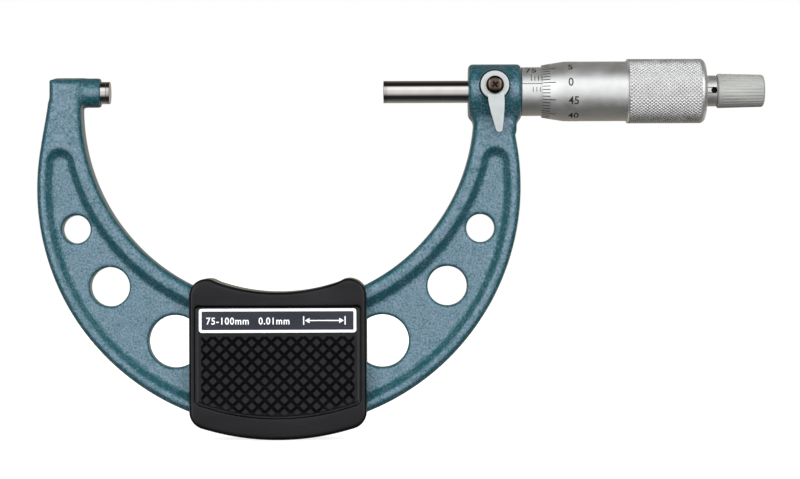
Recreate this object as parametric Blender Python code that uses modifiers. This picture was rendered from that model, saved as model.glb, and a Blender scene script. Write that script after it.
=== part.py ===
"""Outside micrometer, 75 to 100 mm, with a lever lock and a ratchet stop.

Metres, +Z up. The origin is the centre of the anvil's measuring face. +X runs along the
spindle, the frame hangs below it, and the lock lever and the name plate face -Y.
Every piece that turns with the spindle is turned about the X axis; the lock's pieces are
turned about their own axis, which points out of the hub's front.
"""

import math

import bmesh
import bpy
from mathutils import Matrix, Vector

MM = 0.001
RUNNING_GAP = 0.075 * MM        # radial, between pieces that turn or slide in each other
SEAT_GAP = 0.1 * MM             # between pieces that are pressed, screwed or brazed together
ROUND_STEPS = 36                # facets of a turned piece
SLIM_STEPS = 24                 # facets of one that is slimmer than SLIM_R
SLIM_R = 4.3 * MM

# Measuring line: the reading is the gap between the two carbide faces
LEAD = 0.5 * MM                 # spindle advance in one turn
READING = 78.0 * MM
SPINDLE_R = 3.175 * MM
TIP_LENGTH = 1.0 * MM
ANVIL_OUT = 2.45 * MM           # from the frame's boss to the measuring face
ANVIL_LENGTH = 13.0 * MM

# Frame: a cast C between two arcs, with a recessed web on both sides
FRAME_MID_X = 48.0 * MM
OUTER_ARC_Z, OUTER_ARC_R = -26.8 * MM, 69.0 * MM
INNER_ARC_Z, INNER_ARC_R = -4.9 * MM, 55.8 * MM
FRAME_HALF_THICK = 5.0 * MM
WEB_HALF_THICK = 3.0 * MM
OUTER_RIB, INNER_RIB = 3.8 * MM, 4.9 * MM
WEB_TOP_Z = -18.8 * MM          # centres of the round ends of the recess
ARM_LEFT_X, ARM_TOP_Z = -17.3 * MM, 4.0 * MM
ARM_RIGHT_X, HUB_ARM_Z = 115.9 * MM, -2.0 * MM
ANVIL_BOSS_R, ANVIL_BOSS_LEFT_X = 4.25 * MM, -12.0 * MM
HUB_R, HUB_X0, HUB_X1 = 7.6 * MM, 102.2 * MM, 117.2 * MM
HUB_WALL = 2.0 * MM
HUB_CORNER = 0.7 * MM
HOLES = (                       # distance from the middle, height, radius; one on each side
    (57.5 * MM, -38.9 * MM, 4.05 * MM),
    (48.0 * MM, -55.3 * MM, 5.6 * MM),
    (29.5 * MM, -70.9 * MM, 7.5 * MM),
)

# Inner sleeve, graduated sleeve and adjusting nut
INNER_SLEEVE_R, INNER_SLEEVE_END_X = 5.5 * MM, 159.0 * MM
NUT_SEAT_X0, NUT_SEAT_R, NUT_TAPER_R = 148.6 * MM, 5.0 * MM, 4.8 * MM
SLOT_LENGTH, SLOT_WIDTH, SLOT_COUNT = 7.5 * MM, 0.8 * MM, 3
NUT_X0, NUT_X1, NUT_R = 150.0 * MM, 157.5 * MM, 6.6 * MM
SLEEVE_R, SLEEVE_END_X = 6.95 * MM, 148.3 * MM
SLEEVE_BORE_R = 5.65 * MM
SLEEVE_KEY_HOLE_X, KEY_HOLE_R = 118.8 * MM, 0.8 * MM

# Thimble and the spindle's rear end
THIMBLE_X0, THIMBLE_X1 = 123.05 * MM, 169.7 * MM
THIMBLE_EDGE_R, THIMBLE_R, KNURL_R = 7.45 * MM, 8.5 * MM, 9.2 * MM
BEVEL_END_X, KNURL_X0 = 129.3 * MM, 147.3 * MM
KNURL_CORNER = 1.7 * MM
THIMBLE_BORE_R, THIMBLE_WALL_X = 7.05 * MM, 162.5 * MM
THREAD_X0, THREAD_R = 125.0 * MM, 3.05 * MM
CONE_X0, CONE_X1 = 163.0 * MM, 167.5 * MM
CONE_R0, CONE_R1 = 3.15 * MM, 2.5 * MM
STUD_SHANK_R, STUD_SHANK_X0 = 1.45 * MM, 159.5 * MM

# Ratchet stop: saw teeth on the stud, a sprung toothed ring, a steel cup and its cap
NECK_X0, NECK_X1, NECK_R = 169.8 * MM, 173.0 * MM, 4.4 * MM
NECK_HOLE_X, NECK_HOLE_R, NECK_HOLE_DEPTH = 172.0 * MM, 0.83 * MM, 1.6 * MM
TOOTH_COUNT, TOOTH_HEIGHT = 12, 0.5 * MM
TOOTH_CREST_X = 174.0 * MM
TOOTH_R0, TOOTH_R1 = 2.4 * MM, 3.6 * MM
STEM_R, STEM_END_X = 1.9 * MM, 183.9 * MM
PAWL_GAP, PAWL_END_X = 0.15 * MM, 177.0 * MM
CUP_R, CUP_BORE_R = 4.05 * MM, 3.75 * MM
CUP_X0, CUP_WALL_X, CUP_X1 = 173.3 * MM, 182.8 * MM, 183.7 * MM
SPRING_R, SPRING_WIRE_R, SPRING_TURNS = 2.9 * MM, 0.25 * MM, 4
SPRING_X0, SPRING_X1 = 177.35 * MM, 182.45 * MM
CAP_X0, CAP_X1 = 173.15 * MM, 186.5 * MM
CAP_R0, CAP_R1, CAP_CORNER = 4.9 * MM, 4.6 * MM, 0.9 * MM
CAP_BORE_R, CAP_END_WALL = 4.15 * MM, 1.1 * MM
CAP_SCREW_R, CAP_SCREW_SHANK_R = 2.6 * MM, 0.85 * MM
CAP_SCREW_X0, CAP_SCREW_X1, CAP_SCREW_TIP_X = 184.0 * MM, 185.1 * MM, 178.2 * MM

# Lock: axis out of the hub's front; distances are measured outwards from the measuring line
LOCK_X, LOCK_Z = 109.5 * MM, 1.4 * MM
LOCK_PAD_R, LOCK_PAD_OUT = 4.7 * MM, 7.9 * MM
SHOE_R, SHOE_IN, SHOE_OUT = 2.3 * MM, 3.5 * MM, 5.5 * MM
LOCK_STUD_R, LOCK_STUD_IN = 2.6 * MM, 5.65 * MM
LOCK_STUD_NECK_R, LOCK_STUD_OUT = 2.0 * MM, 10.15 * MM
WASHER_R, WASHER_IN, WASHER_OUT = 4.45 * MM, 8.0 * MM, 8.3 * MM
LEVER_RING_R, LEVER_IN, LEVER_OUT = 4.1 * MM, 8.4 * MM, 10.3 * MM
LEVER_ROOT_HALF_WIDTH, LEVER_TIP_R = 2.33 * MM, 0.95 * MM
LEVER_REACH = 13.4 * MM
LEVER_TILT = math.radians(5.4)
LOCK_SCREW_R, LOCK_SCREW_HEAD_IN, LOCK_SCREW_OUT = 2.55 * MM, 10.45 * MM, 11.9 * MM
LOCK_SCREW_SHANK_R, LOCK_SCREW_TIP = 0.95 * MM, 6.5 * MM

# Grip covers
COVER_HALF_WIDTH, COVER_OUT = 25.1 * MM, 9.4 * MM
COVER_TOP_ARC_R, COVER_BOTTOM_ARC_R = 52.0 * MM, 71.86 * MM
LOBE_X, LOBE_Z, LOBE_R = 20.1 * MM, -58.0 * MM, 5.0 * MM
COVER_CORNER_X, COVER_CORNER_Z, COVER_CORNER_R = 20.1 * MM, -90.6 * MM, 5.0 * MM
COVER_FIT = 0.3 * MM            # from the frame, all round
COVER_SEAM = 0.1 * MM           # each cover stops this far from the mid-plane
COVER_EDGE = 1.0 * MM
PLATE_HALF_WIDTH, PLATE_Z0, PLATE_Z1 = 22.25 * MM, -68.3 * MM, -61.4 * MM
RECESS_DEPTH = 0.9 * MM
PLATE_THICK = 0.4 * MM
PANEL_HALF_WIDTH, PANEL_TOP_Z, PANEL_ARC_R = 22.25 * MM, -69.6 * MM, 66.0 * MM


# ---------------------------------------------------------------- scene, materials

def clear_scene():
    for obj in list(bpy.data.objects):
        bpy.data.objects.remove(obj, do_unlink=True)


def new_collection(name):
    collection = bpy.data.collections.new(name)
    bpy.context.scene.collection.children.link(collection)
    return collection


def principled(name, colour, roughness, metallic):
    material = bpy.data.materials.new(name)
    material.use_nodes = True
    shader = material.node_tree.nodes["Principled BSDF"]
    shader.inputs["Base Color"].default_value = (*colour, 1.0)
    shader.inputs["Roughness"].default_value = roughness
    shader.inputs["Metallic"].default_value = metallic
    material.diffuse_color = (*colour, 1.0)
    return material


def make_materials():
    """The finishes, by the name of their slot."""
    return {
        "hammer_paint": principled("hammer_paint", (0.10, 0.25, 0.30), 0.35, 0.5),
        "satin_chrome": principled("satin_chrome", (0.72, 0.72, 0.70), 0.30, 1.0),
        "polished_steel": principled("polished_steel", (0.55, 0.53, 0.50), 0.15, 1.0),
        "carbide": principled("carbide", (0.35, 0.34, 0.33), 0.25, 1.0),
        "black_plastic": principled("black_plastic", (0.015, 0.015, 0.016), 0.45, 0.0),
        "plate_blue": principled("plate_blue", (0.01, 0.015, 0.03), 0.30, 0.2),
        "grey_plastic": principled("grey_plastic", (0.55, 0.55, 0.52), 0.50, 0.0),
        "lever_grey": principled("lever_grey", (0.62, 0.65, 0.65), 0.35, 0.6),
        "brass": principled("brass", (0.70, 0.52, 0.22), 0.35, 1.0),
        "spring_steel": principled("spring_steel", (0.30, 0.30, 0.30), 0.35, 1.0),
        "black_steel": principled("black_steel", (0.03, 0.03, 0.03), 0.45, 0.8),
    }


# ---------------------------------------------------------------- shape tools

def add_object(name, data, collection):
    obj = bpy.data.objects.new(name, data)
    collection.objects.link(obj)
    return obj


def as_mesh(obj):
    """Replace a curve, or an object with modifiers, by the welded mesh that it makes."""
    evaluated = obj.evaluated_get(bpy.context.evaluated_depsgraph_get())
    mesh = bpy.data.meshes.new_from_object(evaluated)
    bm = bmesh.new()
    bm.from_mesh(mesh)
    bmesh.ops.remove_doubles(bm, verts=bm.verts, dist=1e-6)
    bmesh.ops.recalc_face_normals(bm, faces=bm.faces)
    bm.to_mesh(mesh)
    bm.free()
    name = obj.name
    collection = obj.users_collection[0]
    world = obj.matrix_world.copy()
    bpy.data.objects.remove(obj, do_unlink=True)
    made = add_object(name, mesh, collection)
    made.matrix_world = world
    return made


def turned(name, profile, collection, front=None, steps=None):
    """A turned piece about the X axis, or about the lock's axis when front is its (x, z).

    The profile holds (distance along the axis, radius), from the left end over the outside
    to the right end and back through the bore. It starts on the axis, or it is a ring.
    """
    closed = profile[0][1] > 0
    points = [(radius, 0.0, along) for along, radius in reversed(profile)]
    edges = [(i, i + 1) for i in range(len(points) - 1)]
    if closed:
        edges.append((len(points) - 1, 0))
    mesh = bpy.data.meshes.new(name)
    mesh.from_pydata(points, edges, [])
    obj = add_object(name, mesh, collection)
    slim = max(radius for along, radius in profile) < SLIM_R
    screw = obj.modifiers.new("turn", "SCREW")
    screw.axis = "Z"
    screw.steps = steps or (SLIM_STEPS if slim else ROUND_STEPS)
    screw.render_steps = screw.steps
    screw.use_merge_vertices = True
    screw.merge_threshold = 1e-6
    screw.use_smooth_shade = False
    if front is None:
        obj.rotation_euler = (0.0, math.pi / 2, 0.0)
    else:
        obj.rotation_euler = (math.pi / 2, 0.0, 0.0)
        obj.location = (front[0], 0.0, front[1])
    bpy.context.view_layer.update()
    return obj


def rod(x0, x1, radius):
    """The profile of a plain solid rod."""
    return [(x0, 0.0), (x0, radius), (x1, radius), (x1, 0.0)]


def ring(x0, x1, outer, inner):
    """The profile of a plain ring."""
    return [(x0, outer), (x1, outer), (x1, inner), (x0, inner)]


def rounded_end(x_end, radius, corner, steps=3):
    """Profile points round the right-hand outer corner of a turned piece."""
    points = []
    for i in range(steps + 1):
        angle = math.pi / 2 * (1 - i / steps)
        points.append((x_end - corner + corner * math.cos(angle), radius - corner + corner * math.sin(angle)))
    return points


def arc(centre, radius, start, end, count):
    """Points on an arc in the XZ plane, with the angles in degrees from +X towards +Z."""
    points = []
    for i in range(count + 1):
        angle = math.radians(start + (end - start) * i / count)
        points.append((centre[0] + radius * math.cos(angle), centre[1] + radius * math.sin(angle)))
    return points


def plate(name, loops, out0, out1, collection):
    """A flat piece in the XZ plane from out0 to out1 in front of the mid-plane, as a mesh.

    The first loop is the outline and the others are holes.
    """
    curve = bpy.data.curves.new(name, "CURVE")
    curve.dimensions = "2D"
    curve.fill_mode = "BOTH"
    curve.extrude = (out1 - out0) / 2
    for loop in loops:
        spline = curve.splines.new("POLY")
        spline.points.add(len(loop) - 1)
        for point, (x, z) in zip(spline.points, loop):
            point.co = (x, z, 0.0, 1.0)
        spline.use_cyclic_u = True
    obj = add_object(name, curve, collection)
    obj.rotation_euler = (math.pi / 2, 0.0, 0.0)
    obj.location = (0.0, -(out0 + out1) / 2, 0.0)
    bpy.context.view_layer.update()
    return as_mesh(obj)


def block(name, low, high, collection):
    """A box between two corners."""
    mesh = bpy.data.meshes.new(name)
    bm = bmesh.new()
    bmesh.ops.create_cube(bm, size=1.0)
    size = Vector(high) - Vector(low)
    middle = (Vector(high) + Vector(low)) / 2
    bmesh.ops.transform(bm, matrix=Matrix.Translation(middle) @ Matrix.Diagonal((*size, 1.0)), verts=bm.verts)
    bm.to_mesh(mesh)
    bm.free()
    return add_object(name, mesh, collection)


def boolean(obj, other, operation):
    """Cut the other shape out of a piece, or join it on, and hide the other shape."""
    modifier = obj.modifiers.new(f"{operation.lower()}_{other.name}", "BOOLEAN")
    modifier.operation = operation
    modifier.object = other
    modifier.solver = "EXACT"
    other.hide_render = True
    other.display_type = "WIRE"


def finish(obj, material):
    """Give a piece its material, and shade its round sides smooth."""
    obj.data.materials.clear()
    obj.data.materials.append(material)
    obj.data.shade_smooth()
    obj.data.set_sharp_from_angle(angle=math.radians(35))
    return obj


def saw_height(angle):
    """0 to 1 up each saw tooth, by the angle about the X axis."""
    tooth = 2 * math.pi / TOOTH_COUNT
    steps_per_tooth = ROUND_STEPS // TOOTH_COUNT
    step = round(angle % tooth / tooth * steps_per_tooth) % steps_per_tooth
    return step / (steps_per_tooth - 1)


def cut_saw_teeth(obj, face_x):
    """Lower a turned ring's face at face_x into saw teeth."""
    bm = bmesh.new()
    bm.from_mesh(obj.data)
    for vertex in bm.verts:
        place = obj.matrix_world @ vertex.co
        radius = math.hypot(place.y, place.z)
        on_teeth = TOOTH_R0 - 0.4 * MM < radius < TOOTH_R1 + 0.1 * MM
        if on_teeth and abs(place.x - face_x) < 1e-6:
            place.x -= TOOTH_HEIGHT * (1 - saw_height(math.atan2(place.z, place.y)))
            vertex.co = obj.matrix_world.inverted() @ place
    bm.to_mesh(obj.data)
    bm.free()


# ---------------------------------------------------------------- frame

def frame_outline():
    """The C, from the top of the anvil's arm, anticlockwise round its outside."""
    corner = 1.0 * MM
    outer_centre = (FRAME_MID_X, OUTER_ARC_Z)
    inner_centre = (FRAME_MID_X, INNER_ARC_Z)
    left = math.degrees(math.acos((ARM_LEFT_X - FRAME_MID_X) / OUTER_ARC_R))
    right = 360.0 + math.degrees(math.acos((ARM_RIGHT_X - FRAME_MID_X) / OUTER_ARC_R))
    points = arc((ARM_LEFT_X + corner, ARM_TOP_Z - corner), corner, 90.0, 180.0, 4)
    points += arc(outer_centre, OUTER_ARC_R, left, right, 52)
    points.append((ARM_RIGHT_X, HUB_ARM_Z))
    points.append((FRAME_MID_X + INNER_ARC_R, HUB_ARM_Z))
    points += arc(inner_centre, INNER_ARC_R, 360.0, 180.0, 40)
    points.append((FRAME_MID_X - INNER_ARC_R, ARM_TOP_Z))
    return points


def web_outline():
    """The recess between the ribs, from its left end round the bottom and back."""
    outer_r = OUTER_ARC_R - OUTER_RIB
    inner_r = INNER_ARC_R + INNER_RIB
    outer_angle = math.degrees(math.asin((WEB_TOP_Z - OUTER_ARC_Z) / outer_r))
    inner_angle = math.degrees(math.asin((INNER_ARC_Z - WEB_TOP_Z) / inner_r))
    points = arc((FRAME_MID_X, OUTER_ARC_Z), outer_r, 180.0 - outer_angle, 360.0 + outer_angle, 44)
    outer_x = outer_r * math.cos(math.radians(outer_angle))
    inner_x = inner_r * math.cos(math.radians(inner_angle))
    end_r = (outer_x - inner_x) / 2
    end_x = (outer_x + inner_x) / 2
    points += arc((FRAME_MID_X + end_x, WEB_TOP_Z), end_r, 0.0, 180.0, 6)[1:-1]
    points += arc((FRAME_MID_X, INNER_ARC_Z), inner_r, 360.0 - inner_angle, 180.0 + inner_angle, 34)
    points += arc((FRAME_MID_X - end_x, WEB_TOP_Z), end_r, 0.0, 180.0, 6)[1:-1]
    return points


def make_frame(parts, cutters, materials):
    holes = []
    for offset, height, radius in HOLES:
        for side in (-1, 1):
            holes.append(arc((FRAME_MID_X + side * offset, height), radius, 0.0, 345.0, 23))
    frame = plate("frame", [frame_outline(), *holes], -FRAME_HALF_THICK, FRAME_HALF_THICK, parts)
    over = 1.0 * MM
    for side in (-1, 1):
        near, far = sorted((side * WEB_HALF_THICK, side * (FRAME_HALF_THICK + over)))
        web = plate(f"web_recess_{'back' if side < 0 else 'front'}", [web_outline()], near, far, cutters)
        boolean(frame, web, "DIFFERENCE")

    hub_profile = [(HUB_X0, 0.0), (HUB_X0, HUB_R - HUB_CORNER), (HUB_X0 + HUB_CORNER, HUB_R)]
    hub_profile += [(HUB_X1 - HUB_CORNER, HUB_R), (HUB_X1, HUB_R - HUB_CORNER), (HUB_X1, 0.0)]
    joined = [
        turned("hub", hub_profile, cutters),
        turned("anvil_boss", rod(ANVIL_BOSS_LEFT_X, -ANVIL_OUT, ANVIL_BOSS_R), cutters),
        turned("lock_pad", rod(FRAME_HALF_THICK, LOCK_PAD_OUT, LOCK_PAD_R), cutters, (LOCK_X, LOCK_Z)),
    ]
    for shape in joined:
        boolean(frame, shape, "UNION")
    sleeve_bore_x0 = HUB_X0 + HUB_WALL
    bored = [
        turned("sleeve_bore", rod(sleeve_bore_x0, HUB_X1 + over, INNER_SLEEVE_R + SEAT_GAP), cutters),
        turned("spindle_bore", rod(HUB_X0 - over, HUB_X1, SPINDLE_R + RUNNING_GAP), cutters),
        turned("anvil_bore", rod(-ANVIL_LENGTH - SEAT_GAP, over, SPINDLE_R + SEAT_GAP), cutters),
        turned("lock_bore", rod(0.0, LOCK_PAD_OUT + over, LOCK_STUD_R + SEAT_GAP), cutters, (LOCK_X, LOCK_Z)),
    ]
    for shape in bored:
        boolean(frame, shape, "DIFFERENCE")
    return finish(frame, materials["hammer_paint"])


def make_anvil(parts, materials):
    anvil = turned("anvil", rod(-ANVIL_LENGTH, -TIP_LENGTH - SEAT_GAP, SPINDLE_R), parts)
    finish(anvil, materials["polished_steel"])
    tip = turned("anvil_tip", rod(-TIP_LENGTH, 0.0, SPINDLE_R), parts)
    finish(tip, materials["carbide"])


# ---------------------------------------------------------------- sleeves

def make_inner_sleeve(parts, cutters, materials):
    """The fixed barrel: it guides the spindle, and its split end is the thread's nut."""
    x0 = HUB_X0 + HUB_WALL + SEAT_GAP
    bore = SPINDLE_R + RUNNING_GAP
    profile = [(x0, INNER_SLEEVE_R), (NUT_SEAT_X0, INNER_SLEEVE_R), (NUT_SEAT_X0, NUT_SEAT_R)]
    profile += [(INNER_SLEEVE_END_X, NUT_TAPER_R), (INNER_SLEEVE_END_X, bore), (x0, bore)]
    sleeve = turned("inner_sleeve", profile, parts)
    shoe_way = turned("shoe_way", rod(0.0, HUB_R, SHOE_R + SEAT_GAP), cutters, (LOCK_X, LOCK_Z))
    boolean(sleeve, shoe_way, "DIFFERENCE")
    over = 1.0 * MM
    for i in range(SLOT_COUNT):
        low = (INNER_SLEEVE_END_X - SLOT_LENGTH, -SLOT_WIDTH / 2, SPINDLE_R / 2)
        high = (INNER_SLEEVE_END_X + over, SLOT_WIDTH / 2, INNER_SLEEVE_R + over)
        slot = block(f"nut_slot_{i + 1}", low, high, cutters)
        slot.rotation_euler = (2 * math.pi * (i + 0.5) / SLOT_COUNT, 0.0, 0.0)
        boolean(sleeve, slot, "DIFFERENCE")
    finish(sleeve, materials["polished_steel"])


def make_adjusting_nut(parts, materials):
    profile = ring(NUT_X0, NUT_X1, NUT_R, NUT_SEAT_R + SEAT_GAP)
    finish(turned("adjusting_nut", profile, parts), materials["polished_steel"])


def make_sleeve(parts, cutters, materials):
    """The graduated sleeve, with the hole for the zero-setting key at its back."""
    profile = ring(HUB_X1 + SEAT_GAP, SLEEVE_END_X, SLEEVE_R, SLEEVE_BORE_R)
    sleeve = turned("sleeve", profile, parts)
    way = (SLEEVE_KEY_HOLE_X, 0.0)
    key_hole = turned("key_hole", rod(-HUB_R - 1.0 * MM, -INNER_SLEEVE_R, KEY_HOLE_R), cutters, way)
    boolean(sleeve, key_hole, "DIFFERENCE")
    finish(sleeve, materials["satin_chrome"])


# ---------------------------------------------------------------- spindle and thimble

def make_spindle(parts, materials):
    tip = turned("spindle_tip", rod(READING, READING + TIP_LENGTH, SPINDLE_R), parts)
    finish(tip, materials["carbide"])
    hole = STUD_SHANK_R + SEAT_GAP
    profile = [(READING + TIP_LENGTH + SEAT_GAP, 0.0), (READING + TIP_LENGTH + SEAT_GAP, SPINDLE_R)]
    profile += [(THREAD_X0, SPINDLE_R), (THREAD_X0, THREAD_R), (CONE_X0, THREAD_R)]
    profile += [(CONE_X0, CONE_R0), (CONE_X1, CONE_R1), (CONE_X1, hole)]
    profile += [(STUD_SHANK_X0 - SEAT_GAP, hole), (STUD_SHANK_X0 - SEAT_GAP, 0.0)]
    finish(turned("spindle", profile, parts), materials["polished_steel"])


def make_thimble(parts, materials):
    """The thimble: a bevelled edge, a plain barrel, a knurled grip and a tapered seat."""
    seat_gap_r = CONE_R0 + SEAT_GAP
    profile = [(THIMBLE_X0, THIMBLE_EDGE_R), (BEVEL_END_X, THIMBLE_R), (KNURL_X0, THIMBLE_R)]
    profile.append((KNURL_X0, KNURL_R))
    profile += rounded_end(THIMBLE_X1, KNURL_R, KNURL_CORNER)
    profile += [(THIMBLE_X1, STUD_SHANK_R + SEAT_GAP), (CONE_X1 + SEAT_GAP, STUD_SHANK_R + SEAT_GAP)]
    profile += [(CONE_X1 + SEAT_GAP, CONE_R1 + SEAT_GAP), (CONE_X0, seat_gap_r)]
    profile += [(THIMBLE_WALL_X, seat_gap_r), (THIMBLE_WALL_X, THIMBLE_BORE_R), (THIMBLE_X0, THIMBLE_BORE_R)]
    finish(turned("thimble", profile, parts), materials["satin_chrome"])


# ---------------------------------------------------------------- ratchet stop

def make_ratchet_stud(parts, cutters, materials):
    """The screw that holds the thimble, its neck with a key hole, saw teeth and a stem."""
    root_x = TOOTH_CREST_X - TOOTH_HEIGHT
    hole = CAP_SCREW_SHANK_R + SEAT_GAP
    profile = [(STUD_SHANK_X0, 0.0), (STUD_SHANK_X0, STUD_SHANK_R), (NECK_X0, STUD_SHANK_R)]
    profile += [(NECK_X0, NECK_R), (NECK_X1, NECK_R), (NECK_X1, TOOTH_R1), (TOOTH_CREST_X, TOOTH_R1)]
    profile += [(TOOTH_CREST_X, TOOTH_R0), (root_x - TOOTH_HEIGHT, TOOTH_R0)]
    profile += [(root_x - TOOTH_HEIGHT, STEM_R), (STEM_END_X, STEM_R), (STEM_END_X, hole)]
    profile += [(CAP_SCREW_TIP_X - SEAT_GAP, hole), (CAP_SCREW_TIP_X - SEAT_GAP, 0.0)]
    stud = as_mesh(turned("ratchet_stud", profile, parts))
    cut_saw_teeth(stud, TOOTH_CREST_X)
    way = (NECK_HOLE_X, 0.0)
    hole_run = rod(NECK_R - NECK_HOLE_DEPTH, NECK_R + 1.0 * MM, NECK_HOLE_R)
    key_hole = turned("neck_hole", hole_run, cutters, way)
    boolean(stud, key_hole, "DIFFERENCE")
    finish(stud, materials["satin_chrome"])


def make_ratchet_pawl(parts, materials):
    """The sprung ring whose saw teeth lie in the stud's."""
    face_x = TOOTH_CREST_X + PAWL_GAP
    profile = ring(face_x, PAWL_END_X, TOOTH_R1 + RUNNING_GAP, STEM_R + 2 * RUNNING_GAP)
    pawl = as_mesh(turned("ratchet_pawl", profile, parts, steps=ROUND_STEPS))
    cut_saw_teeth(pawl, face_x)
    finish(pawl, materials["polished_steel"])


def make_ratchet_cup(parts, materials):
    """The steel cup that drives the pawl, held on the stem by the screw behind it."""
    profile = [(CUP_X0, CUP_R), (CUP_X1, CUP_R), (CUP_X1, STEM_R + RUNNING_GAP)]
    profile += [(CUP_WALL_X, STEM_R + RUNNING_GAP), (CUP_WALL_X, CUP_BORE_R), (CUP_X0, CUP_BORE_R)]
    finish(turned("ratchet_cup", profile, parts), materials["polished_steel"])


def make_ratchet_spring(parts, materials):
    """A coil between the pawl and the cup's end wall."""
    points_per_turn = 10
    count = SPRING_TURNS * points_per_turn
    curve = bpy.data.curves.new("ratchet_spring", "CURVE")
    curve.dimensions = "3D"
    curve.bevel_depth = SPRING_WIRE_R
    curve.bevel_resolution = 2
    curve.use_fill_caps = True
    spline = curve.splines.new("POLY")
    spline.points.add(count)
    first_x = SPRING_X0 + SPRING_WIRE_R
    pitch = (SPRING_X1 - SPRING_X0 - 2 * SPRING_WIRE_R) / count
    for i, point in enumerate(spline.points):
        angle = 2 * math.pi * i / points_per_turn
        point.co = (first_x + pitch * i, SPRING_R * math.cos(angle), SPRING_R * math.sin(angle), 1.0)
    finish(as_mesh(add_object("ratchet_spring", curve, parts)), materials["spring_steel"])


def make_ratchet_screw(parts, materials):
    profile = [(CAP_SCREW_TIP_X, 0.0), (CAP_SCREW_TIP_X, CAP_SCREW_SHANK_R)]
    profile += [(CAP_SCREW_X0, CAP_SCREW_SHANK_R), (CAP_SCREW_X0, CAP_SCREW_R)]
    profile += [(CAP_SCREW_X1, CAP_SCREW_R), (CAP_SCREW_X1, 0.0)]
    finish(turned("ratchet_screw", profile, parts), materials["polished_steel"])


def make_ratchet_cap(parts, materials):
    """The moulded cap pressed over the cup: what the fingers turn."""
    chamfer = 0.35 * MM
    bore_end = CAP_X1 - CAP_END_WALL
    profile = [(CAP_X0, CAP_R0 - chamfer), (CAP_X0 + chamfer, CAP_R0)]
    profile += rounded_end(CAP_X1, CAP_R1, CAP_CORNER)
    profile += [(CAP_X1, 0.0)]
    inside = [(bore_end, 0.0), (bore_end, CAP_BORE_R), (CAP_X0, CAP_BORE_R)]
    cap = turned("ratchet_cap", inside + profile, parts)
    finish(cap, materials["grey_plastic"])


# ---------------------------------------------------------------- lock

def make_lock(parts, materials):
    """Lever, screw, washer, threaded stud and the brass shoe that presses the spindle."""
    axis = (LOCK_X, LOCK_Z)
    finish(turned("clamp_shoe", rod(SHOE_IN, SHOE_OUT, SHOE_R), parts, axis), materials["brass"])

    hole = LOCK_SCREW_SHANK_R + SEAT_GAP
    profile = [(LOCK_STUD_IN, 0.0), (LOCK_STUD_IN, LOCK_STUD_R), (LOCK_PAD_OUT, LOCK_STUD_R)]
    profile += [(LOCK_PAD_OUT, LOCK_STUD_NECK_R), (LOCK_STUD_OUT, LOCK_STUD_NECK_R)]
    profile += [(LOCK_STUD_OUT, hole), (LOCK_SCREW_TIP - SEAT_GAP, hole), (LOCK_SCREW_TIP - SEAT_GAP, 0.0)]
    finish(turned("lock_stud", profile, parts, axis), materials["polished_steel"])

    washer = ring(WASHER_IN, WASHER_OUT, WASHER_R, LOCK_STUD_NECK_R + SEAT_GAP)
    finish(turned("lock_washer", washer, parts, axis), materials["black_steel"])

    head = LOCK_SCREW_OUT - LOCK_SCREW_HEAD_IN
    profile = [(LOCK_SCREW_TIP, 0.0), (LOCK_SCREW_TIP, LOCK_SCREW_SHANK_R)]
    profile += [(LOCK_SCREW_HEAD_IN, LOCK_SCREW_SHANK_R), (LOCK_SCREW_HEAD_IN, LOCK_SCREW_R)]
    profile += rounded_end(LOCK_SCREW_OUT, LOCK_SCREW_R, head * 0.7)
    profile.append((LOCK_SCREW_OUT, 0.0))
    finish(turned("lock_screw", profile, parts, axis), materials["spring_steel"])


def lever_outline():
    """The ring and its blade, hanging from the lock's axis and leaning towards +X."""
    root_angle = math.degrees(math.acos(LEVER_ROOT_HALF_WIDTH / LEVER_RING_R))
    taper_angle = 10.0
    tip_centre = (0.0, -(LEVER_REACH - LEVER_TIP_R))
    points = arc((0.0, 0.0), LEVER_RING_R, -root_angle, 180.0 + root_angle, 32)
    points += arc(tip_centre, LEVER_TIP_R, 180.0 + taper_angle, 360.0 - taper_angle, 8)
    return points


def make_lock_lever(parts, materials):
    cos, sin = math.cos(LEVER_TILT), math.sin(LEVER_TILT)
    hole = arc((0.0, 0.0), LOCK_STUD_NECK_R + SEAT_GAP, 0.0, 345.0, 23)
    loops = []
    for loop in (lever_outline(), hole):
        loops.append([(LOCK_X + x * cos - z * sin, LOCK_Z + x * sin + z * cos) for x, z in loop])
    finish(plate("lock_lever", loops, LEVER_IN, LEVER_OUT, parts), materials["lever_grey"])


# ---------------------------------------------------------------- grip covers

def mirrored_outline(half):
    """Close an outline from its right half, which runs from the bottom up to the top."""
    points = [(FRAME_MID_X + x, z) for x, z in half]
    points += [(FRAME_MID_X - x, z) for x, z in reversed(half)]
    return points


def arc_height(arc_z, radius, x):
    """Height of the lower side of an arc at a distance from the frame's middle."""
    return arc_z - math.sqrt(radius * radius - x * x)


def cover_outline():
    """Two round lobes on top, straight sides, and arcs that follow the frame."""
    half = []
    for i in range(1, 9):
        x = COVER_CORNER_X * i / 9
        half.append((x, arc_height(OUTER_ARC_Z, COVER_BOTTOM_ARC_R, x)))
    half += arc((COVER_CORNER_X, COVER_CORNER_Z), COVER_CORNER_R, -75.0, 0.0, 6)
    half += arc((LOBE_X, LOBE_Z), LOBE_R, 0.0, 108.0, 9)
    for i in range(8, 0, -1):
        x = (LOBE_X - 2.0 * MM) * i / 9
        half.append((x, arc_height(INNER_ARC_Z, COVER_TOP_ARC_R, x)))
    return mirrored_outline(half)


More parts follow.
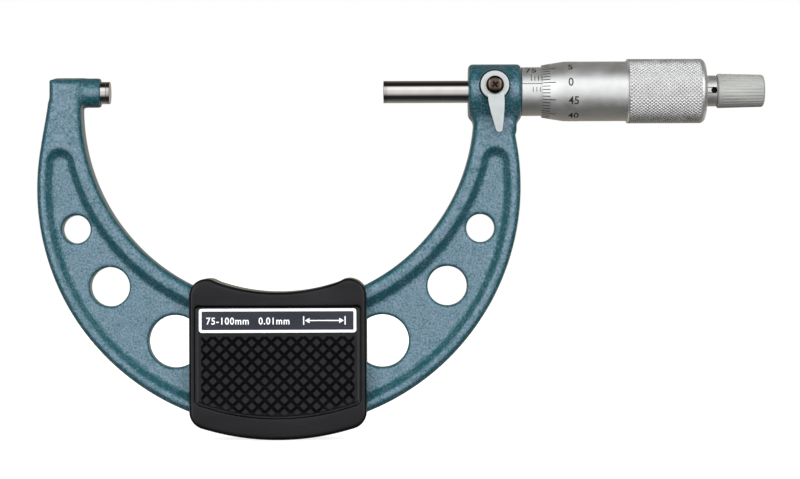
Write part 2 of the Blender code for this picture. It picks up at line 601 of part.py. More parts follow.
def panel_outline():
    """The recessed grip panel under the name plate."""
    half = []
    for i in range(1, 9):
        x = PANEL_HALF_WIDTH * i / 9
        half.append((x, arc_height(OUTER_ARC_Z, PANEL_ARC_R, x)))
    half.append((PANEL_HALF_WIDTH, arc_height(OUTER_ARC_Z, PANEL_ARC_R, PANEL_HALF_WIDTH)))
    half.append((PANEL_HALF_WIDTH, PANEL_TOP_Z))
    return mirrored_outline(half)


def plate_outline(margin):
    x0, x1 = FRAME_MID_X - PLATE_HALF_WIDTH - margin, FRAME_MID_X + PLATE_HALF_WIDTH + margin
    z0, z1 = PLATE_Z0 - margin, PLATE_Z1 + margin
    return [(x0, z0), (x1, z0), (x1, z1), (x0, z1)]


def frame_clearance():
    """The band that the frame fills inside the covers, with the covers' fit round it."""
    half_angle = 35.0
    left, right = 270.0 - half_angle, 270.0 + half_angle
    points = arc((FRAME_MID_X, OUTER_ARC_Z), OUTER_ARC_R + COVER_FIT, left, right, 14)
    points += arc((FRAME_MID_X, INNER_ARC_Z), INNER_ARC_R - COVER_FIT, right, left, 14)
    return points


def round_edge(obj, out, width):
    """Round the edge between a plate's sides and its face, which lies at the distance out."""
    bm = bmesh.new()
    bm.from_mesh(obj.data)
    edges = []
    for edge in bm.edges:
        on_face = all(abs(-(obj.matrix_world @ vertex.co).y - out) < 1e-6 for vertex in edge.verts)
        if on_face and edge.calc_face_angle() > math.radians(60):
            edges.append(edge)
    bmesh.ops.bevel(bm, geom=edges, offset=width, segments=2, profile=0.5, affect="EDGES")
    bm.to_mesh(obj.data)
    bm.free()


def make_cover(name, side, parts, cutters, materials):
    """One half of the grip. side is 1 for the front and -1 for the back."""
    near, far = sorted((side * COVER_SEAM, side * COVER_OUT))
    cover = plate(name, [cover_outline()], near, far, parts)
    round_edge(cover, side * COVER_OUT, COVER_EDGE)
    over = 1.0 * MM
    inside = sorted((-side * over, side * (FRAME_HALF_THICK + COVER_FIT)))
    outside = sorted((side * (COVER_OUT - RECESS_DEPTH), side * (COVER_OUT + over)))
    cuts = [
        plate(f"{name}_clearance", [frame_clearance()], *inside, cutters),
        plate(f"{name}_panel", [panel_outline()], *outside, cutters),
        plate(f"{name}_plate_seat", [plate_outline(SEAT_GAP)], *outside, cutters),
    ]
    for cut in cuts:
        boolean(cover, cut, "DIFFERENCE")
    finish(cover, materials["black_plastic"])


def make_name_plate(parts, materials):
    out = COVER_OUT - RECESS_DEPTH + SEAT_GAP
    name_plate = plate("name_plate", [plate_outline(0.0)], out, out + PLATE_THICK, parts)
    finish(name_plate, materials["plate_blue"])


# ---------------------------------------------------------------- assembly

def main():
    clear_scene()
    materials = make_materials()
    parts = new_collection("outside_micrometer")
    cutters = new_collection("cutters")
    make_frame(parts, cutters, materials)
    make_anvil(parts, materials)
    make_inner_sleeve(parts, cutters, materials)
    make_adjusting_nut(parts, materials)
    make_sleeve(parts, cutters, materials)
    make_spindle(parts, materials)
    make_thimble(parts, materials)
    make_ratchet_stud(parts, cutters, materials)
    make_ratchet_pawl(parts, materials)
    make_ratchet_cup(parts, materials)
    make_ratchet_spring(parts, materials)
    make_ratchet_screw(parts, materials)
    make_ratchet_cap(parts, materials)
    make_lock(parts, materials)
    make_lock_lever(parts, materials)
    make_cover("front_cover", 1, parts, cutters, materials)
    make_cover("back_cover", -1, parts, cutters, materials)
    make_name_plate(parts, materials)


main()
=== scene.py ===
"""Looks of the outside micrometer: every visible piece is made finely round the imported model.

Lengths are millimetres in the shape functions, and MM turns them into Blender's metres.
+X runs along the spindle, +Z is up, and the name plate and the lock lever face -Y.
"""

import math

import bmesh
import bpy
import numpy as np
import openvdb
from mathutils import Matrix, Vector


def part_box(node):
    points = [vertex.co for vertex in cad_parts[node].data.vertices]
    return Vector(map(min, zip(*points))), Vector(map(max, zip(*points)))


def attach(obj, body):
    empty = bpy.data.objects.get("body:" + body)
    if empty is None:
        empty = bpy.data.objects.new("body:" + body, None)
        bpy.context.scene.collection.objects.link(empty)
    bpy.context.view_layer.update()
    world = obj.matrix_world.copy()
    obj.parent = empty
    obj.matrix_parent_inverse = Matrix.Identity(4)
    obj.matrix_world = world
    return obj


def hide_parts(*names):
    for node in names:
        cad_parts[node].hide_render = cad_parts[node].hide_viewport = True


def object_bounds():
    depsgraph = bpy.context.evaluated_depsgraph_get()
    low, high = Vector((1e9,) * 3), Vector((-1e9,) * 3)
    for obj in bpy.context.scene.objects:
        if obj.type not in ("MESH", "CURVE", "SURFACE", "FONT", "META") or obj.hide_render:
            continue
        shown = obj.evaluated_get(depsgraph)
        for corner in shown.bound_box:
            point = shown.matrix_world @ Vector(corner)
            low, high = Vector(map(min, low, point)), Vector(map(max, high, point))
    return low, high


MM = 0.001
TAU = 2 * math.pi

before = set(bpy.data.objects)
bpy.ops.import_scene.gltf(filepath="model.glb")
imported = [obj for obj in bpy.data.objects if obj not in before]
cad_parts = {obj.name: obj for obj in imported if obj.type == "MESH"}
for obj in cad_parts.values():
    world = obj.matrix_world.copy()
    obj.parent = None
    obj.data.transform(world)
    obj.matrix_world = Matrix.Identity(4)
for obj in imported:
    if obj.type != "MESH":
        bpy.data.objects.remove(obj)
cad_low, cad_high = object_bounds()


def cad_x(node):
    """Where a CAD node starts and ends along the spindle, in millimetres."""
    low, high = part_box(node)
    return low.x / MM, high.x / MM


# ---------------------------------------------------------------- sizes shared by several pieces

SPINDLE_R = 3.175
MARK_SINK = 0.02                        # how far a print goes into its ground, and stands out of it
THIMBLE_X0, THIMBLE_X1 = cad_x("thimble")
READING_X = cad_x("spindle_tip")[0]
SLEEVE_X0, SLEEVE_X1 = cad_x("sleeve")
SLEEVE_R = 6.95
BEVEL_X1, THIMBLE_EDGE_R, THIMBLE_R, KNURL_R = 129.3, 7.45, 8.5, 9.2
KNURL_X0 = 147.3
INDEX_ANGLE = math.radians(15.5)        # of the index line, above the front
FRAME_MID_X = 48.0
OUTER_ARC_Z, OUTER_ARC_R = -26.8, 69.0
INNER_ARC_Z, INNER_ARC_R = -4.9, 55.8
FRAME_HALF_THICK, WEB_HALF_THICK = 5.0, 3.0
LOCK_X, LOCK_Z = 109.5, 1.4
COVER_OUT = 9.4
FLOOR_OUT = 8.5                         # of the recess in the covers, from the mid-plane
BAND_ROOM = 0.3                         # that the covers leave round the frame inside them


# ---------------------------------------------------------------- mesh tools

def link(name, mesh):
    """A new object in the scene."""
    obj = bpy.data.objects.new(name, mesh)
    bpy.context.scene.collection.objects.link(obj)
    return obj


def shade(obj):
    """Smooth shading, with the edges left sharp where faces meet at more than an angle."""
    obj.data.shade_smooth()
    obj.data.set_sharp_from_angle(angle=math.radians(35.0))
    return obj


def mesh_object(name, points, faces):
    """An object from points in millimetres, with its doubles merged and its faces turned out."""
    mesh = bpy.data.meshes.new(name)
    mesh.from_pydata([Vector(p) * MM for p in points], [], faces)
    bm = bmesh.new()
    bm.from_mesh(mesh)
    bmesh.ops.remove_doubles(bm, verts=bm.verts, dist=1e-7)
    bmesh.ops.recalc_face_normals(bm, faces=bm.faces)
    bm.to_mesh(mesh)
    bm.free()
    return shade(link(name, mesh))


def grid_faces(rows, columns, close_rows, close_columns):
    """Quads over a grid of points that is numbered row by row."""
    faces = []
    for i in range(rows if close_rows else rows - 1):
        for j in range(columns if close_columns else columns - 1):
            a = i * columns + j
            b = i * columns + (j + 1) % columns
            c = ((i + 1) % rows) * columns + (j + 1) % columns
            d = ((i + 1) % rows) * columns + j
            faces.append((a, b, c, d))
    return faces


def lathe(name, profile, steps=128, relief=None):
    """Turn (x, radius) points about the spindle's axis. A profile that starts off it is a ring.

    relief(x, angle) is added to the radius of points that aren't on the axis.
    """
    closed = profile[0][1] > 0
    points = []
    for x, radius in profile:
        for i in range(steps):
            angle = TAU * i / steps
            r = radius + (relief(x, angle) if relief and radius > 0 else 0.0)
            points.append((x, -r * math.cos(angle), r * math.sin(angle)))
    return mesh_object(name, points, grid_faces(len(profile), steps, closed, True))


def face_front(obj, x, z):
    """Stand a turned piece on the lock's axis, so that its right end faces the front."""
    turn = Matrix.Rotation(-math.pi / 2, 4, "Z")
    obj.data.transform(Matrix.Translation((x * MM, 0, z * MM)) @ turn)
    return obj


def rounded(points, corner, steps=5):
    """Round every corner of a profile or outline of straight lines; corner may be a list."""
    out = []
    count = len(points)
    sizes = corner if isinstance(corner, (list, tuple)) else [corner] * count
    for i, here in enumerate(points):
        size = sizes[i]
        if not size:
            out.append(here)
            continue
        here = Vector(here)
        before = Vector(points[i - 1]) - here
        after = Vector(points[(i + 1) % count]) - here
        reach = min(size, before.length * 0.49, after.length * 0.49)
        start = here + before.normalized() * reach
        end = here + after.normalized() * reach
        for k in range(steps + 1):
            t = k / steps
            point = start * (1 - t) ** 2 + here * 2 * t * (1 - t) + end * t * t
            out.append(tuple(point))
    return out


def arc(centre, radius, start, end, count):
    """Points on an arc, with the angles in degrees."""
    angles = [math.radians(start + (end - start) * i / count) for i in range(count + 1)]
    return [(centre[0] + radius * math.cos(a), centre[1] + radius * math.sin(a)) for a in angles]


def slab(name, loops, out0, out1):
    """A flat piece in the XZ plane between two distances in front of the mid-plane."""
    curve = bpy.data.curves.new(name, "CURVE")
    curve.dimensions = "2D"
    curve.fill_mode = "BOTH"
    curve.extrude = abs(out1 - out0) / 2 * MM
    for loop in loops:
        spline = curve.splines.new("POLY")
        spline.points.add(len(loop) - 1)
        for point, (x, z) in zip(spline.points, loop):
            point.co = (x * MM, z * MM, 0.0, 1.0)
        spline.use_cyclic_u = True
    shape = link(name, curve)
    upright = Matrix.Rotation(math.pi / 2, 4, "X")
    shape.matrix_world = Matrix.Translation((0, -(out0 + out1) / 2 * MM, 0)) @ upright
    return settled(shape)


def settled(obj):
    """Replace an object by the plain mesh that it evaluates to, in the scene's axes."""
    bpy.context.view_layer.update()
    evaluated = obj.evaluated_get(bpy.context.evaluated_depsgraph_get())
    mesh = bpy.data.meshes.new_from_object(evaluated)
    mesh.transform(obj.matrix_world)
    bm = bmesh.new()
    bm.from_mesh(mesh)
    bmesh.ops.remove_doubles(bm, verts=bm.verts, dist=1e-7)
    bmesh.ops.dissolve_degenerate(bm, edges=bm.edges, dist=1e-7)
    bmesh.ops.recalc_face_normals(bm, faces=bm.faces)
    bm.to_mesh(mesh)
    bm.free()
    name = obj.name
    bpy.data.objects.remove(obj, do_unlink=True)
    return shade(link(name, mesh))


def combine(obj, others, operation="DIFFERENCE"):
    """Cut shapes out of a piece, or join them on, for good."""
    for other in others:
        modifier = obj.modifiers.new(other.name, "BOOLEAN")
        modifier.operation = operation
        modifier.object = other
        modifier.solver = "EXACT"
    made = settled(obj)
    for other in others:
        bpy.data.objects.remove(other, do_unlink=True)
    return made


def merged(name, objects):
    """Several meshes as one object, left as they are."""
    bm = bmesh.new()
    for obj in objects:
        part = obj.data.copy()
        part.transform(obj.matrix_world)
        bm.from_mesh(part)
        bpy.data.meshes.remove(part)
    mesh = bpy.data.meshes.new(name)
    bm.to_mesh(mesh)
    bm.free()
    for obj in objects:
        bpy.data.objects.remove(obj, do_unlink=True)
    return shade(link(name, mesh))


def softened(obj, width, segments=2):
    """Round a piece's edges."""
    bevel = obj.modifiers.new("soft_edges", "BEVEL")
    bevel.width = width * MM
    bevel.segments = segments
    bevel.limit_method = "ANGLE"
    bevel.angle_limit = math.radians(30.0)
    return settled(obj)


def dress(obj, material, body, slot, *nodes):
    """Give a piece its material and body, and hide the CAD nodes that it stands for."""
    obj.data.materials.clear()
    obj.data.materials.append(material)
    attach(obj, body)
    if nodes:
        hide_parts(*nodes)
    return obj


# ---------------------------------------------------------------- materials

def ramp_node(tree, value, stops):
    """A colour ramp in a node tree, from (place, colour) or (place, grey) stops."""
    node = tree.nodes.new("ShaderNodeValToRGB")
    elements = node.color_ramp.elements
    while len(elements) < len(stops):
        elements.new(0.5)
    for element, (at, colour) in zip(elements, stops):
        rgb = colour if isinstance(colour, tuple) else (colour, colour, colour)
        element.position = at
        element.color = (*rgb, 1.0)
    tree.links.new(value, node.inputs["Fac"])
    return node.outputs["Color"]


def math_node(tree, operation, *values):
    """A math node in a node tree, from sockets and numbers."""
    node = tree.nodes.new("ShaderNodeMath")
    node.operation = operation
    for socket, value in zip(node.inputs, values):
        if isinstance(value, float):
            socket.default_value = value
        else:
            tree.links.new(value, socket)
    return node.outputs[0]


class Nodes:
    """A material's node tree, with short calls for what the finishes below share."""

    def __init__(self, name, colour, roughness, metallic):
        self.material = bpy.data.materials.new(name)
        self.material.use_nodes = True
        self.tree = self.material.node_tree
        self.shader = self.tree.nodes["Principled BSDF"]
        self.shader.inputs["Base Color"].default_value = (*colour, 1.0)
        self.shader.inputs["Roughness"].default_value = roughness
        self.shader.inputs["Metallic"].default_value = metallic
        self.place = self.tree.nodes.new("ShaderNodeTexCoord").outputs["Object"]

    def join(self, output, target):
        """Link two sockets."""
        self.tree.links.new(output, target)

    def stretched(self, scale):
        """The place in the object, scaled by axis, in units of one millimetre."""
        mapping = self.tree.nodes.new("ShaderNodeMapping")
        mapping.inputs["Scale"].default_value = [s / MM for s in scale]
        self.join(self.place, mapping.inputs["Vector"])
        return mapping.outputs["Vector"]

    def noise(self, scale, detail=2.0, rough=0.5):
        """Noise from 0 to 1, with about a scale of features in each millimetre."""
        node = self.tree.nodes.new("ShaderNodeTexNoise")
        node.inputs["Scale"].default_value = 1.0
        node.inputs["Detail"].default_value = detail
        node.inputs["Roughness"].default_value = rough
        self.join(self.stretched(scale), node.inputs["Vector"])
        return node.outputs["Fac"]

    def cells(self, scale, smooth):
        """Distance to the nearest of scattered points, blended where two are as near."""
        node = self.tree.nodes.new("ShaderNodeTexVoronoi")
        node.feature = "SMOOTH_F1"
        node.inputs["Scale"].default_value = 1.0
        node.inputs["Smoothness"].default_value = smooth
        self.join(self.stretched(scale), node.inputs["Vector"])
        return node.outputs["Distance"]

    def ramp(self, value, stops):
        """A colour ramp, from (place, colour) or (place, grey) stops."""
        return ramp_node(self.tree, value, stops)

    def calc(self, operation, *values):
        """A math node, from sockets and numbers."""
        return math_node(self.tree, operation, *values)

    def bump(self, value, height):
        """Raise the surface by a value of 0 to 1 times a height in millimetres."""
        node = self.tree.nodes.new("ShaderNodeBump")
        node.inputs["Distance"].default_value = height * MM
        self.join(value, node.inputs["Height"])
        last = self.shader.inputs["Normal"]
        if last.is_linked:
            self.join(last.links[0].from_socket, node.inputs["Normal"])
        self.join(node.outputs["Normal"], last)


def hammer_paint():
    """Hammertone enamel: pale metal flake over a dark teal ground, with a painted sheen that pales the
    faces turned front or back.
    """
    n = Nodes("hammer_paint", (0.2, 0.3, 0.36), 0.34, 0.6)
    # Fine flake in broad drifts, plus a painted sheen: the cover ramp adds paler flake where the
    # surface faces front or back
    flakes = n.noise((1.7, 1.7, 1.7), 3.0, 0.62)
    broad = n.noise((0.3, 0.3, 0.3), 2.0, 0.5)
    facing = n.tree.nodes.new("ShaderNodeSeparateXYZ")
    n.join(n.tree.nodes.new("ShaderNodeNewGeometry").outputs["Normal"], facing.inputs["Vector"])
    cover = n.ramp(n.calc("ABSOLUTE", facing.outputs["Y"]), [(0.94, 0.0), (1.0, 0.19)])
    flake_and_sheen = n.calc("ADD", n.calc("MULTIPLY_ADD", broad, 0.25, flakes), cover)
    ground, flake = (0.010, 0.090, 0.112), (0.265, 0.365, 0.46)
    n.join(n.ramp(flake_and_sheen, [(0.60, ground), (1.0, flake)]), n.shader.inputs["Base Color"])
    n.join(n.ramp(flake_and_sheen, [(0.58, 0.2), (0.95, 0.85)]), n.shader.inputs["Metallic"])
    n.join(n.ramp(flakes, [(0.3, 0.30), (0.7, 0.42)]), n.shader.inputs["Roughness"])
    n.bump(flakes, 0.11)
    n.bump(n.cells((0.9, 0.9, 0.9), 0.8), 0.08)
    n.shader.inputs["Coat Weight"].default_value = 0.4
    n.shader.inputs["Coat Roughness"].default_value = 0.14
    return n.material


def vary(n, value, low_at, low, high, roughness, rough_most):
    """Let a noise vary a finish's colour, and its roughness from 0.8 to rough_most times."""
    n.join(n.ramp(value, [(low_at, low), (0.7, high)]), n.shader.inputs["Base Color"])
    stops = [(0.3, roughness * 0.8), (0.7, roughness * rough_most)]
    n.join(n.ramp(value, stops), n.shader.inputs["Roughness"])


def turned_metal(name, colour, roughness, ring_scale, depth, metallic=1.0):
    """Metal with fine turning marks round the spindle's axis and uneven polish."""
    n = Nodes(name, colour, roughness, metallic)
    rings = n.noise((ring_scale, 0.02, 0.02), 2.0, 0.7)
    cloud = n.noise((0.25, 0.25, 0.25), 3.0)
    vary(n, cloud, 0.3, tuple(c * 0.88 for c in colour), colour, roughness, 1.25)
    n.bump(rings, depth)
    return n.material


def moulded(name, colour, roughness, grain, depth, gloss=0.5, sheen_streak=0.002):
    """Moulded plastic with a fine grain and faint flow marks, whose paler streaks are partly a painted
    sheen.
    """
    n = Nodes(name, colour, roughness, 0.0)
    flow = n.noise((0.06, 0.2, 0.3), 3.0, 0.6)
    # The paler streaks are partly flow marks and partly a painted sheen
    pale = tuple(min(1.0, c * 1.35 + sheen_streak) for c in colour)
    vary(n, flow, 0.35, colour, pale, roughness, 1.2)
    n.bump(n.noise((grain, grain, grain), 2.0), depth)
    n.shader.inputs["Specular IOR Level"].default_value = gloss
    return n.material


def plain_metal(name, colour, roughness, grain=3.0, depth=0.01):
    """Cast or plated metal without a direction."""
    n = Nodes(name, colour, roughness, 1.0)
    cloud = n.noise((0.4, 0.4, 0.4), 3.0)
    vary(n, cloud, 0.3, tuple(c * 0.85 for c in colour), colour, roughness, 1.2)
    n.bump(n.noise((grain, grain, grain), 2.0), depth)
    return n.material


PAINT = hammer_paint()
CHROME = turned_metal("satin_chrome", (0.88, 0.88, 0.87), 0.42, 9.0, 0.003, 0.86)
STEEL = turned_metal("polished_steel", (0.80, 0.77, 0.74), 0.055, 12.0, 0.001)
CARBIDE = turned_metal("carbide", (0.62, 0.60, 0.58), 0.16, 6.0, 0.001)
# Black plastic: its flow streaks are lifted a little more, as a painted sheen
BLACK = moulded("black_plastic", (0.004, 0.004, 0.0050), 0.22, 5.0, 0.003, 0.32, 0.0035)
PLATE = moulded("plate_blue", (0.010, 0.012, 0.022), 0.30, 8.0, 0.002)
PRINT = moulded("plate_print", (0.93, 0.94, 0.96), 0.40, 8.0, 0.002)
GREY = moulded("grey_plastic", (0.30, 0.305, 0.29), 0.42, 6.0, 0.005)
LEVER = plain_metal("lever_grey", (0.80, 0.84, 0.84), 0.45, 2.5, 0.008)
BRONZE = plain_metal("spring_steel", (0.13, 0.095, 0.075), 0.16, 4.0, 0.004)
# Dark steel for the washer; also painted shade inside the key hole and the screw's cross recess
DARK_STEEL_AND_SHADE = plain_metal("black_steel", (0.02, 0.02, 0.022), 0.45)
BRASS = plain_metal("brass", (0.70, 0.50, 0.20), 0.30)
INK = moulded("black_ink", (0.012, 0.011, 0.010), 0.50, 8.0, 0.001)


# ---------------------------------------------------------------- marks on round surfaces

def wrapped_strip(points, faces, x0, x1, angle0, angle1, radius_at, sink=0.03, lift=0.012):
    """Add a thin closed strip that follows a turned surface to lists of points and faces."""
    steps = max(2, int(abs(angle1 - angle0) / math.radians(4.0)) + 1)
    first = len(points)
    for i in range(steps + 1):
        angle = angle0 + (angle1 - angle0) * i / steps
        for x, height in ((x0, -sink), (x0, lift), (x1, lift), (x1, -sink)):
            radius = radius_at(x) + height
            points.append((x, -radius * math.cos(angle), radius * math.sin(angle)))
    for i in range(steps):
        a = first + 4 * i
        for k in range(4):
            faces.append((a + k, a + (k + 1) % 4, a + 4 + (k + 1) % 4, a + 4 + k))
    faces.append(tuple(first + k for k in range(4)))
    faces.append(tuple(first + 4 * steps + k for k in (3, 2, 1, 0)))


CAPITAL_SHARE = 0.73                    # of the built-in font's size that a capital stands tall


def flat_text(name, words, height, thick, weight=0.0, spacing=1.0):
    """Text as a mesh in the XY plane, centred, its capitals a height in millimetres tall."""
    curve = bpy.data.curves.new(name, "FONT")
    curve.body = words
    curve.size = height / CAPITAL_SHARE * MM
    curve.extrude = thick / 2 * MM
    curve.offset = weight * MM
    curve.resolution_u = 4
    curve.align_x = "CENTER"
    curve.space_character = spacing
    text = settled(link(name, curve))
    low = min(v.co.y for v in text.data.vertices)
    high = max(v.co.y for v in text.data.vertices)
    text.data.transform(Matrix.Translation((0, -(low + high) / 2, 0)))
    return text


def wrapped_text(words, x, angle, height, radius_at, spread=1.0):
    """Text laid round a turned surface, its middle at a place and an angle."""
    sink, cut_step = 0.008, 0.35
    text = flat_text(f"text_{words}", words, height, 0.04, 0.035)
    text.data.transform(Matrix.Diagonal((spread, 1, 1, 1)))
    bm = bmesh.new()
    bm.from_mesh(text.data)
    for i in range(-5, 6):
        geometry = bm.verts[:] + bm.edges[:] + bm.faces[:]
        place = (0, i * cut_step * MM, 0)
        bmesh.ops.bisect_plane(bm, geom=geometry, plane_co=place, plane_no=(0, 1, 0))
    for vertex in bm.verts:
        along, across, out = vertex.co / MM
        radius = radius_at(x + along) - sink + out
        around = angle + across / radius_at(x + along)
        place = Vector((x + along, -radius * math.cos(around), radius * math.sin(around)))
        vertex.co = place * MM
    bm.to_mesh(text.data)
    bm.free()
    return text


def thimble_radius(x):
    """Radius of the thimble's bevel and barrel."""
    share = min(1.0, max(0.0, (x - THIMBLE_X0) / (BEVEL_X1 - THIMBLE_X0)))
    return THIMBLE_EDGE_R + share * (THIMBLE_R - THIMBLE_EDGE_R)


def sleeve_radius(_x):
    """Radius of the sleeve, which is the same all along."""
    return SLEEVE_R


def make_thimble_marks():
    """Fifty lines on the bevel, every fifth one longer and numbered."""
    divisions, short, long, half_width = 50, 2.2, 3.75, 0.12
    number_height, narrow = 2.45, 0.92
    start = THIMBLE_X0 + 0.08
    points, faces = [], []
    for i in range(divisions):
        angle = INDEX_ANGLE + TAU * i / divisions
        half = half_width / thimble_radius(start + short / 2)
        end = THIMBLE_X0 + (long if i % 5 == 0 else short)
        wrapped_strip(points, faces, start, end, angle - half, angle + half, thimble_radius)
    marks = [mesh_object("thimble_lines", points, faces)]
    for i in range(0, divisions, 5):
        angle = INDEX_ANGLE + TAU * i / divisions
        x = THIMBLE_X0 + 8.0 + (0.85 if i >= 10 else 0.0)
        marks.append(wrapped_text(str(i), x, angle, number_height, thimble_radius, narrow))
    dress(merged("thimble_marks", marks), INK, "thimble_group", "satin_chrome")


def make_sleeve_marks():
    """The index line, whole millimetres above it, half ones below it, and every fifth numbered."""
    first, last = 75, 100
    points, faces = [], []
    zero_x = THIMBLE_X0 - 0.1 - READING_X          # where a reading of nothing would stand
    number_angle, number_height, wide = math.radians(57.0), 2.4, 1.02

    def line(x0, x1, below, above):
        low, high = INDEX_ANGLE + math.radians(below), INDEX_ANGLE + math.radians(above)
        wrapped_strip(points, faces, x0, x1, low, high, sleeve_radius)

    half_line = math.degrees(0.10 / SLEEVE_R)
    line(SLEEVE_X0, SLEEVE_X1, -half_line, half_line)
    for value in range(first, last + 1):
        x = zero_x + value
        line(x - 0.11, x + 0.11, 7.5, 26.0 if value % 5 == 0 else 20.5)
        if value < last:
            line(x + 0.41, x + 0.59, -19.2, -8.0)
    marks = [mesh_object("sleeve_lines", points, faces)]
    for value in range(first, last + 1, 5):
        x = zero_x + value
        marks.append(wrapped_text(str(value), x, number_angle, number_height, sleeve_radius, wide))
    dress(merged("sleeve_marks", marks), INK, "zero_sleeve", "satin_chrome")


# ---------------------------------------------------------------- measuring line

def make_anvil_and_spindle():
    """The two ground rods with their carbide discs, and the spindle's thread behind the sleeve."""
    x0, x1 = cad_x("anvil")
    pin = lathe("anvil_pin", [(x0, 0), (x0, SPINDLE_R), (x1, SPINDLE_R), (x1, 0)], 96)
    dress(pin, STEEL, "frame_group", "polished_steel", "anvil")
    x0, x1 = cad_x("anvil_tip")
    edge = 0.1
    disc = [(x0, 0), (x0, SPINDLE_R), (x1 - edge, SPINDLE_R), (x1, SPINDLE_R - edge), (x1, 0)]
    dress(lathe("anvil_disc", disc, 96), CARBIDE, "frame_group", "carbide", "anvil_tip")
    x0, x1 = cad_x("spindle_tip")[0], cad_x("spindle")[0] - 0.01
    disc = [(x0, 0), (x0, SPINDLE_R - edge), (x0 + edge, SPINDLE_R), (x1, SPINDLE_R), (x1, 0)]
    dress(lathe("spindle_disc", disc, 96), CARBIDE, "spindle_carrier", "carbide", "spindle_tip")

    x0, x1 = cad_x("spindle")
    thread_x0, thread_x1, pitch, crest_r, root_r = 125.0, 162.8, 0.5, 3.05, 2.8
    profile = [(x0, 0), (x0, SPINDLE_R), (thread_x0, SPINDLE_R)]
    turns = int((thread_x1 - thread_x0) / pitch)
    for i in range(turns):
        x = thread_x0 + 0.1 + i * pitch
        profile += [(x, crest_r), (x + pitch / 2, root_r)]
    profile += [(thread_x1, crest_r), (163.0, 3.12), (x1, 2.5)]
    profile += [(x1, 1.55), (159.6, 1.55), (159.6, 0)]
    dress(lathe("spindle_rod", profile, 64), STEEL, "thimble_group", "polished_steel", "spindle")


def make_sleeve():
    """The graduated sleeve, with the key's hole at the back."""
    inner, corner = 5.65, 0.12
    x0, x1 = SLEEVE_X0, SLEEVE_X1
    profile = [(x0, SLEEVE_R - corner), (x0 + corner, SLEEVE_R), (x1 - corner, SLEEVE_R)]
    profile += [(x1, SLEEVE_R - corner), (x1, inner), (x0, inner)]
    barrel = lathe("sleeve_barrel", profile, 128)
    hole = lathe("key_hole", [(-9.0, 0), (-9.0, 0.8), (-5.0, 0.8), (-5.0, 0)], 32)
    barrel = combine(barrel, [face_front(hole, 118.8, 0.0)])
    dress(barrel, CHROME, "zero_sleeve", "satin_chrome", "sleeve")


def make_thimble():
    """Barrel and bevel in one piece, and the knurled grip with its diamonds cut in."""
    around, axial_pitch, per_diamond, depth = 58, 1.14, 6, 0.30
    flat_from, fade_x = 0.8, 0.3               # diamonds' flat tops, and the knurl's run-out
    knurl_x0, knurl_x1 = KNURL_X0 + 0.35, THIMBLE_X1 - 1.45

    def relief(x, angle):
        if not knurl_x0 < x < knurl_x1:
            return 0.0
        along = (x - knurl_x0) / axial_pitch
        turn = around * angle / TAU
        lines = [1 - abs(2 * ((turn + side * along) % 1.0) - 1) for side in (1, -1)]
        height = min(flat_from, *lines)
        fade = min(1.0, (x - knurl_x0) / fade_x, (knurl_x1 - x) / fade_x)
        return (height / flat_from - 1.0) * depth * fade

    bore, wall_x = 7.05, 162.5
    profile = [(THIMBLE_X0, bore), (THIMBLE_X0, THIMBLE_EDGE_R - 0.05)]
    profile.append((THIMBLE_X0 + 0.06, THIMBLE_EDGE_R))
    profile += [(BEVEL_X1 - 0.1, THIMBLE_R - 0.02), (BEVEL_X1 + 0.15, THIMBLE_R)]
    profile += [(KNURL_X0, THIMBLE_R), (KNURL_X0 + 0.05, KNURL_R - 0.25), (KNURL_X0 + 0.3, KNURL_R)]
    step = axial_pitch / per_diamond
    count = int((knurl_x1 - knurl_x0) / step)
    profile += [(knurl_x0 + i * step, KNURL_R) for i in range(count + 1)]
    corner = 1.7
    for x, r in arc((THIMBLE_X1 - corner, KNURL_R - corner), corner, 80.0, 0.0, 8):
        if x > knurl_x1:
            profile.append((x, r))
    profile += [(THIMBLE_X1, 5.4), (THIMBLE_X1 - 0.25, 5.1), (THIMBLE_X1 - 0.25, 1.6), (167.6, 1.6)]
    profile += [(167.6, 2.6), (163.0, 3.25), (wall_x, 3.25), (wall_x, bore)]
    body = lathe("thimble_body", profile, around * per_diamond, relief)
    dress(body, CHROME, "thimble_group", "satin_chrome", "thimble")


# ---------------------------------------------------------------- ratchet stop

